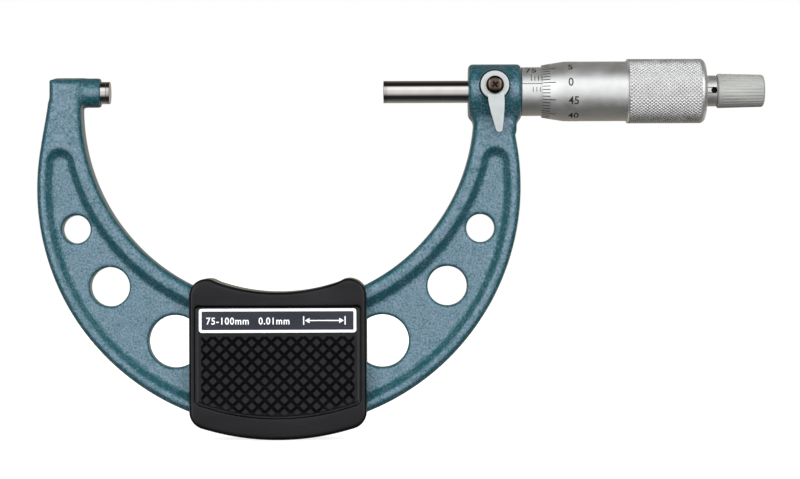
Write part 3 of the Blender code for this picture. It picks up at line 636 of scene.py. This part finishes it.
def make_ratchet():
    """The stud's neck with its key hole, and the finely grooved cap."""
    x0, x1 = 169.8, 173.0
    radius, edge = 4.4, 0.25
    stem_end = cad_x("ratchet_stud")[1]
    profile = [(159.5, 0), (159.5, 1.45), (x0, 1.45), (x0, radius - edge), (x0 + edge, radius)]
    profile += [(x1 - edge, radius), (x1, radius - edge), (x1, 3.6), (x1 + 0.6, 3.6)]
    profile += [(x1 + 0.6, 2.4), (x1, 2.4), (x1, 1.9), (stem_end, 1.9), (stem_end, 0.95)]
    profile += [(178.1, 0.95), (178.1, 0)]
    hole_x, hole_r = 172.0, 0.83
    bore = [(2.8, 0), (2.8, 0.6), (3.2, hole_r), (4.2, hole_r), (5.0, 1.2), (5.0, 0)]
    hole = lathe("neck_hole", bore, 40)
    neck = combine(lathe("ratchet_neck", profile, 120), [face_front(hole, hole_x, 0.0)])
    dress(neck, CHROME, "thimble_group", "satin_chrome", "ratchet_stud")
    # Painted shade: faces inside the key hole take the dark steel, so the hole looks black
    neck.data.materials.append(DARK_STEEL_AND_SHADE)
    for face in neck.data.polygons:
        x, y, z = face.center / MM
        if math.hypot(x - hole_x, z) < hole_r + 0.01 and y < -2.0:
            face.material_index = 1

    x0, x1 = cad_x("ratchet_cap")
    r0, r1, corner, grooves, groove_depth = 4.9, 4.6, 0.9, 30, 0.11
    groove_x0, groove_x1, fade_x, land = x0 + 1.35, x1 - 0.55, 0.25, 0.45

    def relief(x, angle):
        if not groove_x0 <= x <= groove_x1:
            return 0.0
        wave = abs(2 * ((grooves * angle / TAU) % 1.0) - 1)
        fade = min(1.0, (x - groove_x0) / fade_x, (groove_x1 - x) / fade_x)
        return -groove_depth * max(0.0, wave - land) / (1.0 - land) * fade

    outer = [(x0, r0 - 0.3), (x0 + 0.3, r0), (groove_x0, r0 - 0.03)]
    outer += [(groove_x0 + fade_x, r0 - 0.04), (x1 - corner - 0.6, r1 + 0.02)]
    outer += arc((x1 - corner, r1 - corner), corner, 90.0, 0.0, 8)
    outer += [(x1, 2.6), (x1 - 0.15, 2.4), (x1 - 0.15, 0)]
    inner = [(x1 - 1.1, 0), (x1 - 1.1, 4.15), (x0, 4.15)]
    cap = lathe("ratchet_grip", inner + outer, grooves * 8, relief)
    dress(cap, GREY, "ratchet_group", "grey_plastic", "ratchet_cap")


# ---------------------------------------------------------------- lock

def at_lock(points, degrees):
    """Turn (x, z) points about the lock's axis, and put them there."""
    cos, sin = math.cos(math.radians(degrees)), math.sin(math.radians(degrees))
    return [(LOCK_X + x * cos - z * sin, LOCK_Z + x * sin + z * cos) for x, z in points]


def make_lock():
    """The dark washer, the lever, and its domed screw with a cross recess."""
    hole_r, washer_r, edge = 2.1, 4.45, 0.05
    washer = [(8.0, hole_r), (8.0, washer_r - edge), (8.0 + edge, washer_r)]
    washer += [(8.35 - edge, washer_r), (8.35, washer_r - edge), (8.35, hole_r)]
    ring = face_front(lathe("lock_ring", washer, 72), LOCK_X, LOCK_Z)
    dress(ring, DARK_STEEL_AND_SHADE, "frame_group", "black_steel", "lock_washer")

    back, front, ring_r = 8.45, 9.75, 4.1
    profile = [(back, hole_r), (back, ring_r), (front, ring_r), (front, hole_r)]
    lever_ring = lathe("lever_ring", rounded(profile, [0, 0.15, 0.35, 0]), 96)
    face_front(lever_ring, LOCK_X, LOCK_Z)
    root_half, tip_r, reach, tilt = 2.33, 0.95, 13.4, 5.4
    blade = [(root_half, -2.9), (root_half - 0.25, -2.2), (-root_half + 0.25, -2.2)]
    blade += [(-root_half, -2.9), (-2.28, -4.6), (-1.95, -7.4)]
    blade += arc((0.0, -(reach - tip_r)), tip_r, 188.0, 352.0, 10)
    blade += [(1.95, -7.4), (2.28, -4.6)]
    handle = softened(slab("lever_blade", [at_lock(blade, tilt)], back, 10.3), 0.4, 4)
    lever = combine(lever_ring, [handle], "UNION")
    lever.name = "lever"
    dress(lever, LEVER, "lock_group", "lever_grey", "lock_lever")

    dome_from, dome_height, dome_r, dome_steps = 10.7, 1.2, 2.55, 8
    head = [(6.5, 0), (6.5, 0.95), (9.8, 0.95), (9.8, 2.45), (10.2, dome_r), (dome_from, dome_r)]
    for i in range(1, dome_steps):
        angle = math.pi / 2 * i / dome_steps
        head.append((dome_from + dome_height * math.sin(angle), dome_r * math.cos(angle) ** 0.8))
    head.append((dome_from + dome_height, 0.0))
    screw = face_front(lathe("lock_screw_head", head, 72), LOCK_X, LOCK_Z)
    arms = []
    for i, (half_x, half_z) in enumerate(((1.0, 0.24), (0.24, 1.0))):
        loop = [(-half_x, -half_z), (half_x, -half_z), (half_x, half_z), (-half_x, half_z)]
        arms.append(slab(f"cross_{i}", [at_lock(loop, 38.0)], 10.9, 13.0))
    screw = softened(combine(screw, arms), 0.06, 2)
    dress(screw, BRONZE, "lock_group", "spring_steel", "lock_screw")
    # Painted shade: faces down in the cross recess take the dark steel, so the cross looks black
    screw.data.materials.append(DARK_STEEL_AND_SHADE)
    for face in screw.data.polygons:
        x, y, z = face.center / MM
        share = math.hypot(x - LOCK_X, z - LOCK_Z) / dome_r
        dome = dome_from + dome_height * math.sqrt(max(0.0, 1.0 - share ** 2.5))
        if dome_from + 0.1 < -y < dome - 0.12:
            face.material_index = 1


# ---------------------------------------------------------------- frame

def rounded_union(a, b, radius):
    """Join two distance fields with a fillet of about a radius."""
    h = np.clip(0.5 + 0.5 * (b - a) / radius, 0.0, 1.0)
    return b + (a - b) * h - radius * h * (1.0 - h)


def rounded_cut(a, b, radius):
    """Take the field b out of a, and round the edge that it leaves."""
    return -rounded_union(-a, b, radius)


def rounded_overlap(a, b, corner):
    """What two distance fields share, with the edge between them rounded to a radius.

    Both fields have the radius added to them beforehand.
    """
    outside = np.hypot(np.maximum(a, 0.0), np.maximum(b, 0.0))
    return np.minimum(np.maximum(a, b), 0.0) + outside - corner


def pill(along, across, start, end, radius, corner):
    """Distance to a cylinder between two places on its axis, with rounded ends."""
    over_end = np.abs(along - (start + end) / 2) - (end - start) / 2 + corner
    return rounded_overlap(over_end, across - radius + corner, corner)


def web_depth(x, z):
    """How far the web lies below the ribs, over a grid of places in the frame."""
    outer_rib, inner_rib, slope, end_z = 2.4, 3.5, 2.9, -20.1
    outer_r, inner_r = OUTER_ARC_R - outer_rib, INNER_ARC_R + inner_rib
    dx = np.abs(x - FRAME_MID_X)
    outer_x = math.sqrt(outer_r ** 2 - (end_z - OUTER_ARC_Z) ** 2)
    inner_x = math.sqrt(inner_r ** 2 - (end_z - INNER_ARC_Z) ** 2)
    arch = (outer_x - inner_x) / 2 - np.hypot(dx - (outer_x + inner_x) / 2, z - end_z)
    to_outer = outer_r - np.hypot(dx, z - OUTER_ARC_Z)
    to_inner = np.hypot(dx, z - INNER_ARC_Z) - inner_r
    inside = np.where(z > end_z, arch, np.minimum(to_outer, to_inner))
    share = np.clip(inside / slope, 0.0, 1.0)
    start = share * share * 2.5                       # the slope's curved start, up to a fifth
    straight = 0.1 + (share - 0.2) * (0.8 / 0.6)
    end = 1 - (1 - share) ** 2 * 2.5                  # and its curved end, from four fifths
    eased = np.where(share < 0.2, start, np.where(share > 0.8, end, straight))
    return (FRAME_HALF_THICK - WEB_HALF_THICK) * eased


def plate_outline(x, z):
    """How far inside the frame's outline a place is: the crescent, and its two arms."""
    arm_left, arm_right, top, arm_foot = -16.95, 115.9, 3.7, -12.0
    dx = np.abs(x - FRAME_MID_X)
    slimmer = 0.6 * np.clip((z + 65.0) / 50.0, 0.0, 1.0)      # the left side's upper part
    outer_r = OUTER_ARC_R - np.where(x < FRAME_MID_X, slimmer, 0.0)
    from_outer_centre = np.hypot(dx, z - OUTER_ARC_Z)
    crescent = np.minimum(outer_r - from_outer_centre, np.hypot(dx, z - INNER_ARC_Z) - INNER_ARC_R)
    crescent = np.minimum(crescent, INNER_ARC_Z + 1.0 - z)

    def arm(x0, x1, z1):
        within = np.minimum(np.minimum(x - x0, x1 - x), np.minimum(z1 - z, z - arm_foot))
        return np.minimum(within, OUTER_ARC_R + 4.0 - from_outer_centre)

    left = arm(arm_left, FRAME_MID_X - INNER_ARC_R, top)
    right = arm(FRAME_MID_X + INNER_ARC_R, arm_right, 0.0)
    joined = np.maximum(crescent, np.maximum(left, right))
    return np.where(x < arm_left + 4.0, -rounded_union(-crescent, -left, 3.0), joined)


def frame_field(x, y, z):
    """Distance to the casting's surface, in millimetres, over a grid of places."""
    half = FRAME_HALF_THICK - web_depth(x, z)
    edge = 1.9
    field = rounded_overlap(-plate_outline(x, z) + edge, np.abs(y) - half + edge, edge)
    about_axis = np.hypot(y, z)
    about_lock = np.hypot(x - LOCK_X, z - LOCK_Z)
    anvil_boss = pill(x, about_axis, -15.8, -2.45, 4.2, 0.5)
    hub = pill(x, about_axis, 102.2, 117.2, 7.8, 1.1)
    lock_pad = pill(-y, about_lock, 2.0, 7.9, 4.7, 0.35)
    for lump, fillet in ((anvil_boss, 1.2), (hub, 2.6), (lock_pad, 0.8)):
        field = rounded_union(field, lump, fillet)
    # Lightening holes, in pairs: how far from the middle, height and radius
    for offset, height, radius in ((57.5, -38.9, 4.0), (48.0, -55.3, 5.6), (29.5, -70.9, 7.5)):
        for side in (-1, 1):
            hole = np.hypot(x - FRAME_MID_X - side * offset, z - height) - radius
            field = rounded_cut(field, hole, 0.8)
    # Bores on the measuring line, for the inner sleeve, the spindle and the anvil
    for start, end, radius in ((104.2, 130.0, 5.6), (90.0, 110.0, 3.4), (-13.2, 10.0, SPINDLE_R)):
        bore = np.maximum(about_axis - radius, np.maximum(start - x, x - end))
        field = np.maximum(field, -bore)
    lock_bore = np.maximum(about_lock - 2.7, np.maximum(y, -y - 9.0))
    return np.maximum(field, -lock_bore)


def grid_over(node, cell):
    """Places of a grid over a CAD node with some room round it, and the grid's first indices."""
    low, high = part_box(node)
    starts = [math.floor(v / MM / cell) - 2 for v in low]
    counts = [math.ceil(v / MM / cell) + 3 - start for v, start in zip(high, starts)]
    axes = [(start + np.arange(count)) * cell for start, count in zip(starts, counts)]
    return np.meshgrid(*axes, indexing="ij", sparse=True), starts


def field_mesh(name, field, starts, cell, smoothing):
    """Mesh the zero surface of a distance field that was sampled on a grid."""
    grid = openvdb.FloatGrid(4.0)
    grid.copyFromArray(np.clip(field / cell, -4.0, 4.0).astype(np.float32))
    points, quads = grid.convertToQuads(0.0)
    shape = mesh_object(name, ((points + np.array(starts)) * cell).tolist(), quads.tolist())
    smooth = shape.modifiers.new("smooth", "SMOOTH")
    smooth.factor = 0.5
    smooth.iterations = smoothing
    shape = settled(shape)
    shape.data.shade_smooth()
    return shape


def make_frame():
    """The casting, meshed from its distance field so that every corner has a cast fillet."""
    cell = 0.48
    places, starts = grid_over("frame", cell)
    casting = field_mesh("frame_casting", frame_field(*places), starts, cell, 3)
    dress(casting, PAINT, "frame_group", "hammer_paint", "frame")


# ---------------------------------------------------------------- grip covers

def mirrored(half):
    """Close an outline from its right half, which runs from the bottom up to the top."""
    right = [(FRAME_MID_X + x, z) for x, z in half]
    return right + [(FRAME_MID_X - x, z) for x, z in reversed(half)]


def arc_z(arc_centre_z, radius, x):
    """Height of an arc's lower side, a distance beside its centre."""
    return arc_centre_z - math.sqrt(radius * radius - x * x)


def arc_points(arc_centre_z, radius, reach, steps):
    """Points of an arc's lower side, from near its middle to near a reach beside it."""
    places = [reach * i / steps for i in range(1, steps)]
    return [(x, arc_z(arc_centre_z, radius, x)) for x in places]


def cover_outline():
    """Arcs below and above, parallel to the frame's, with round lobes at the corners."""
    lobe_x, lobe_r = 20.1, 5.0
    half = arc_points(OUTER_ARC_Z, 71.86, 20.0, 14)
    half += arc((lobe_x, -90.6), lobe_r, -73.0, 0.0, 12)
    half += arc((lobe_x, -58.0), lobe_r, 0.0, 106.0, 18)
    half += reversed(arc_points(INNER_ARC_Z, 52.0, 18.3, 14))
    return mirrored(half)


def recess_outline(half_width, top_z, arc_radius, corner):
    """Straight top and sides, and a bottom that follows the frame's outer arc."""
    half = arc_points(OUTER_ARC_Z, arc_radius, half_width, 12)
    half.append((half_width, arc_z(OUTER_ARC_Z, arc_radius, half_width)))
    half.append((half_width, top_z))
    outline = mirrored(half)
    sizes = [0] * len(outline)
    side = len(half)
    for i in (side - 1, side):
        sizes[i] = corner * 0.4
    for i in (side - 2, side + 1):
        sizes[i] = corner
    return rounded(outline, sizes)


def band_outline():
    """The band that the frame fills inside the covers."""
    points = arc((FRAME_MID_X, OUTER_ARC_Z), OUTER_ARC_R + BAND_ROOM, 235.0, 305.0, 60)
    return points + arc((FRAME_MID_X, INNER_ARC_Z), INNER_ARC_R - BAND_ROOM, 305.0, 235.0, 60)


def in_panel(x, z, half_width, top_z, arc_radius):
    """Whether a place, beside the middle, lies in the panel."""
    return abs(x) < half_width and arc_z(OUTER_ARC_Z, arc_radius, abs(x)) < z < top_z


def diamond_panel(side):
    """Flat-topped diamonds in a staggered pattern, with thin ridges crossing between them."""
    pitch_x, pitch_z, first_z = 3.655, 3.59, -71.1
    half_width, top_z, arc_radius = 21.7, -69.3, 64.9
    base, top, floor, crown = 1.66, 1.14, FLOOR_OUT - 0.05, FLOOR_OUT + 0.6
    points, faces = [], []
    columns, rows = 14, 16
    for row in range(-1, rows):
        for column in range(-columns, columns + 1):
            x = (column + (row % 2) / 2) * pitch_x
            z = first_z - row * pitch_z / 2
            if not in_panel(x, z, half_width + 0.6, top_z + 0.7, arc_radius + 0.7):
                continue
            ring = []
            for reach, out in ((base, floor), (top, crown)):
                for dx, dz in ((reach, 0), (0, reach), (-reach, 0), (0, -reach)):
                    px = min(half_width, max(-half_width, x + dx))
                    low = arc_z(OUTER_ARC_Z, arc_radius, px)
                    pz = min(top_z, max(low, z + dz))
                    ring.append((FRAME_MID_X + px, -side * out, pz))
            first = len(points)
            points += ring
            block = ((3, 2, 1, 0), (4, 5, 6, 7), (0, 1, 5, 4), (1, 2, 6, 5), (2, 3, 7, 6), (3, 0, 4, 7))
            faces += [tuple(first + k for k in face) for face in block]
    ridge_half, ridge_out = 0.13, FLOOR_OUT + 0.28
    for direction in (-1, 1):
        for line in range(-30, 31):
            offset = (line + 0.5) * pitch_x
            slope = direction * pitch_z / pitch_x
            ends = ridge_ends(offset, slope, first_z, (half_width, top_z, arc_radius))
            if ends is None:
                continue
            (x0, z0), (x1, z1) = ends
            along = Vector((x1 - x0, z1 - z0)).normalized()
            nx, nz = -along.y * ridge_half, along.x * ridge_half
            first = len(points)
            for x, z in ((x0, z0), (x1, z1)):
                points.append((FRAME_MID_X + x + nx, -side * floor, z + nz))
                points.append((FRAME_MID_X + x, -side * ridge_out, z))
                points.append((FRAME_MID_X + x - nx, -side * floor, z - nz))
            prism = ((0, 1, 4, 3), (1, 2, 5, 4), (2, 0, 3, 5), (0, 2, 1), (3, 4, 5))
            faces += [tuple(first + k for k in face) for face in prism]
    return mesh_object("diamonds", points, faces)


def ridge_ends(offset, slope, first_z, panel):
    """Where one diagonal ridge enters and leaves the panel, or None."""
    half_width, top_z, arc_radius = panel
    inside, steps = [], 120
    for i in range(-steps, steps + 1):
        x = half_width * i / steps
        z = first_z + slope * (x - offset)
        if in_panel(x, z, half_width + 0.01, top_z, arc_radius):
            inside.append((x, z))
    return (inside[0], inside[-1]) if len(inside) > 2 else None


def inside_outline(x, z, loop):
    """How far inside a closed outline each place of a grid is; negative outside."""
    nearest = np.full(np.broadcast(x, z).shape, 1e9)
    crossings = np.zeros(nearest.shape, dtype=bool)
    for (ax, az), (bx, bz) in zip(loop, loop[1:] + loop[:1]):
        if (ax, az) == (bx, bz):
            continue
        dx, dz = bx - ax, bz - az
        t = np.clip(((x - ax) * dx + (z - az) * dz) / (dx ** 2 + dz ** 2), 0.0, 1.0)
        nearest = np.minimum(nearest, np.hypot(x - ax - t * dx, z - az - t * dz))
        if az != bz:
            crossings ^= ((az > z) != (bz > z)) & (x < dx * (z - az) / dz + ax)
    return np.where(crossings, nearest, -nearest)


def make_cover(name, side, node):
    """One half of the grip: a crowned rim, a recess with a groove round it, and the diamonds."""
    cell, edge, seam = 0.3, 1.0, 0.02
    (x, y, z), starts = grid_over(node, cell)
    rim = inside_outline(x, z, cover_outline())
    recess = inside_outline(x, z, recess_outline(23.5, -60.75, 65.8, 3.0))
    crown_drop, crown_width = 0.45, 5.5
    crown = crown_drop * (1.0 - np.clip(rim / crown_width, 0.0, 1.0)) ** 2
    out = -side * y
    field = rounded_overlap(edge - rim, out - (COVER_OUT - crown) + edge, edge)
    groove_half, groove_depth = 0.45, 0.35
    groove = np.clip(1.0 - np.abs(recess - groove_half) / groove_half, 0.0, 1.0) * groove_depth
    field = rounded_cut(field, np.maximum(-recess, FLOOR_OUT - groove - out), 0.35)
    field = np.maximum(field, seam - out)
    band = inside_outline(x, z, band_outline())
    field = np.maximum(field, -np.maximum(-band, out - FRAME_HALF_THICK - BAND_ROOM))
    shell = field_mesh(name, field, starts, cell, 2)
    cover = merged(name, [shell, diamond_panel(side)])
    dress(cover, BLACK, "frame_group", "black_plastic", node)


# ---------------------------------------------------------------- name plate

def rounded_box(box, inset, corner):
    """A box (x0, z0, x1, z1), made smaller by an inset, with round corners."""
    x0, z0, x1, z1 = box[0] + inset, box[1] + inset, box[2] - inset, box[3] - inset
    return rounded([(x0, z0), (x1, z0), (x1, z1), (x0, z1)], corner)


def make_name_plate():
    """A dark plate with a white border, the range, the resolution, and a plain dimension sign."""
    low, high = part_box("name_plate")
    box = (low.x / MM, low.z / MM, high.x / MM, high.z / MM)
    out = -low.y / MM
    plate = softened(slab("plate", [rounded_box(box, 0.0, 0.9)], FLOOR_OUT, out), 0.08, 2)
    dress(plate, PLATE, "frame_group", "plate_blue", "name_plate")

    border_edges = [rounded_box(box, 0.06, 0.9), rounded_box(box, 0.82, 0.25)[::-1]]
    middle_z = (box[1] + box[3]) / 2
    thickness = (out - MARK_SINK, out + MARK_SINK)
    prints = [slab("border", border_edges, *thickness)]
    for words, left, right in (("75-100mm", 27.9, 39.9), ("0.01mm", 42.7, 51.4)):
        text = flat_text("print", words, 2.0, 2 * MARK_SINK, 0.05, 1.15)
        width = max(v.co.x for v in text.data.vertices) - min(v.co.x for v in text.data.vertices)
        text.data.transform(Matrix.Diagonal(((right - left) * MM / width, 1, 1, 1)))
        text.data.transform(Matrix.Rotation(math.pi / 2, 4, "X"))
        middle = Vector(((left + right) / 2, -out, middle_z - 0.1)) * MM
        text.data.transform(Matrix.Translation(middle))
        prints.append(text)
    sign_x0, sign_x1, half_bar, stroke, head, half_head = 55.2, 67.2, 1.2, 0.32, 1.3, 0.75
    for x in (sign_x0, sign_x1 - stroke):
        z0, z1 = middle_z - half_bar, middle_z + half_bar
        bar = [(x, z0), (x + stroke, z0), (x + stroke, z1), (x, z1)]
        prints.append(slab("bar", [bar], *thickness))
    a, b, half = sign_x0 + stroke + 0.2, sign_x1 - stroke - 0.2, stroke / 2
    arrow = [(a, 0.0), (a + head, -half_head), (a + head, -half), (b - head, -half)]
    arrow += [(b - head, -half_head), (b, 0.0), (b - head, half_head), (b - head, half)]
    arrow += [(a + head, half), (a + head, half_head)]
    prints.append(slab("arrow", [[(x, middle_z + z) for x, z in arrow]], *thickness))
    dress(merged("plate_print", prints), PRINT, "frame_group", "plate_blue")


# ---------------------------------------------------------------- inner pieces, stage, camera

def dress_inner_pieces():
    """CAD nodes that keep their own shape, since they lie inside."""
    finishes = {
        "inner_sleeve": STEEL, "adjusting_nut": STEEL, "ratchet_pawl": STEEL, "ratchet_cup": STEEL,
        "ratchet_screw": STEEL, "lock_stud": STEEL, "clamp_shoe": BRASS, "ratchet_spring": BRONZE,
    }
    for node, material in finishes.items():
        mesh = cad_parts[node].data
        mesh.materials.clear()
        mesh.materials.append(material)


def make_floor():
    """A plain white floor, which neither the metal nor the soft light takes notice of."""
    bm = bmesh.new()
    bmesh.ops.create_circle(bm, cap_ends=True, radius=40.0, segments=64)
    mesh = bpy.data.meshes.new("studio_floor")
    bm.to_mesh(mesh)
    bm.free()
    floor = link("studio_floor", mesh)
    floor.location = (0.05, 0.0, cad_low.z - 0.2 * MM)
    white = Nodes("studio_white", (0.6, 0.6, 0.6), 0.9, 0.0)
    white.shader.inputs["Emission Color"].default_value = (1, 1, 1, 1)
    white.shader.inputs["Emission Strength"].default_value = 0.85
    mesh.materials.append(white.material)
    floor.visible_glossy = False
    floor.visible_diffuse = False


def make_studio():
    """Soft light from all round: a broad panel high in front, bright side strips, a dim wall behind."""
    world = bpy.data.worlds.new("studio")
    bpy.context.scene.world = world
    world.use_nodes = True
    tree = world.node_tree
    add = tree.nodes.new
    join = tree.links.new
    split = add("ShaderNodeSeparateXYZ")
    join(add("ShaderNodeTexCoord").outputs["Generated"], split.inputs["Vector"])
    front = math_node(tree, "MULTIPLY", split.outputs["Y"], -1.0)
    turn = add("ShaderNodeMapRange")
    turn.inputs["From Min"].default_value = -math.pi
    turn.inputs["From Max"].default_value = math.pi
    join(math_node(tree, "ARCTAN2", split.outputs["Z"], front), turn.inputs["Value"])
    # Degrees round the spindle from the front, up being positive, and the light's colour there
    stops = [
        (-180, (0.46, 0.43, 0.38)), (-140, (0.34, 0.31, 0.27)), (-105, (0.15, 0.14, 0.12)),
        (-75, (0.02, 0.02, 0.02)), (-46, (0.02, 0.02, 0.02)), (-33, (0.28, 0.28, 0.28)),
        (-18, (0.72, 0.72, 0.72)), (-6, (0.84, 0.84, 0.85)), (14, (0.92, 0.93, 0.94)),
        (22, (1.18, 1.20, 1.22)), (46, (1.20, 1.22, 1.24)), (57, (0.28, 0.28, 0.29)),
        (66, (0.015, 0.015, 0.015)), (95, (0.015, 0.014, 0.012)), (130, (0.14, 0.12, 0.10)),
        (180, (0.46, 0.43, 0.38)),
    ]
    stops = [((degrees + 180) / 360, colour) for degrees, colour in stops]
    ramp = ramp_node(tree, turn.outputs["Result"], stops)
    # Towards the sides: bright strips, and darkness past them
    sides = [(0.0, 1.0), (0.46, 0.95), (0.56, 2.6), (0.68, 2.6), (0.80, 0.35), (1.0, 0.14)]
    fall = ramp_node(tree, math_node(tree, "ABSOLUTE", split.outputs["X"]), sides)
    light = add("ShaderNodeMix")
    light.data_type = "RGBA"
    light.blend_type = "MULTIPLY"
    light.inputs["Factor"].default_value = 1.0
    join(ramp, light.inputs["A"])
    join(fall, light.inputs["B"])
    seen = add("ShaderNodeMix")
    seen.data_type = "RGBA"
    join(add("ShaderNodeLightPath").outputs["Is Camera Ray"], seen.inputs["Factor"])
    join(light.outputs["Result"], seen.inputs["A"])
    seen.inputs["B"].default_value = (1, 1, 1, 1)
    join(seen.outputs["Result"], tree.nodes["Background"].inputs["Color"])


def add_panel(name, azimuth, elevation, distance, width, height, power):
    """A soft fill panel that faces the object from a direction in degrees; nothing mirrors it."""
    centre = (cad_low + cad_high) / 2
    a, e = math.radians(azimuth), math.radians(elevation)
    towards = Vector((math.sin(a) * math.cos(e), -math.cos(a) * math.cos(e), math.sin(e)))
    light = bpy.data.lights.new(name, "AREA")
    light.shape = "RECTANGLE"
    light.size = width
    light.size_y = height
    light.energy = power
    lamp = bpy.data.objects.new(name, light)
    bpy.context.scene.collection.objects.link(lamp)
    lamp.location = centre + towards * distance
    lamp.rotation_euler = (-towards).to_track_quat("-Z", "Y").to_euler()
    lamp.visible_glossy = False


def make_lights():
    """Fill from the front and from behind."""
    add_panel("front_fill", 0, 25, 1.2, 1.6, 0.8, 13)
    add_panel("back_fill", 180, 30, 1.2, 1.6, 0.8, 9)


def make_camera():
    """Square on to the frame, and level with the middle of its throat."""
    camera = bpy.data.cameras.new("camera")
    camera.lens = 110.3
    camera.sensor_width = 36.0
    camera.clip_start = 0.01
    shot = bpy.data.objects.new("camera", camera)
    bpy.context.scene.collection.objects.link(shot)
    shot.location = (0.0826, -0.70, -0.0421)
    shot.rotation_euler = (math.pi / 2, math.radians(0.2034), 0.0)
    bpy.context.scene.camera = shot


make_camera()
make_frame()
make_anvil_and_spindle()
make_sleeve()
make_sleeve_marks()
make_thimble()
make_thimble_marks()
make_ratchet()
make_lock()
make_cover("grip_front", 1, "front_cover")
make_cover("grip_back", -1, "back_cover")
make_name_plate()
dress_inner_pieces()
make_floor()
make_studio()
make_lights()
bpy.context.scene.view_settings.view_transform = "Standard"
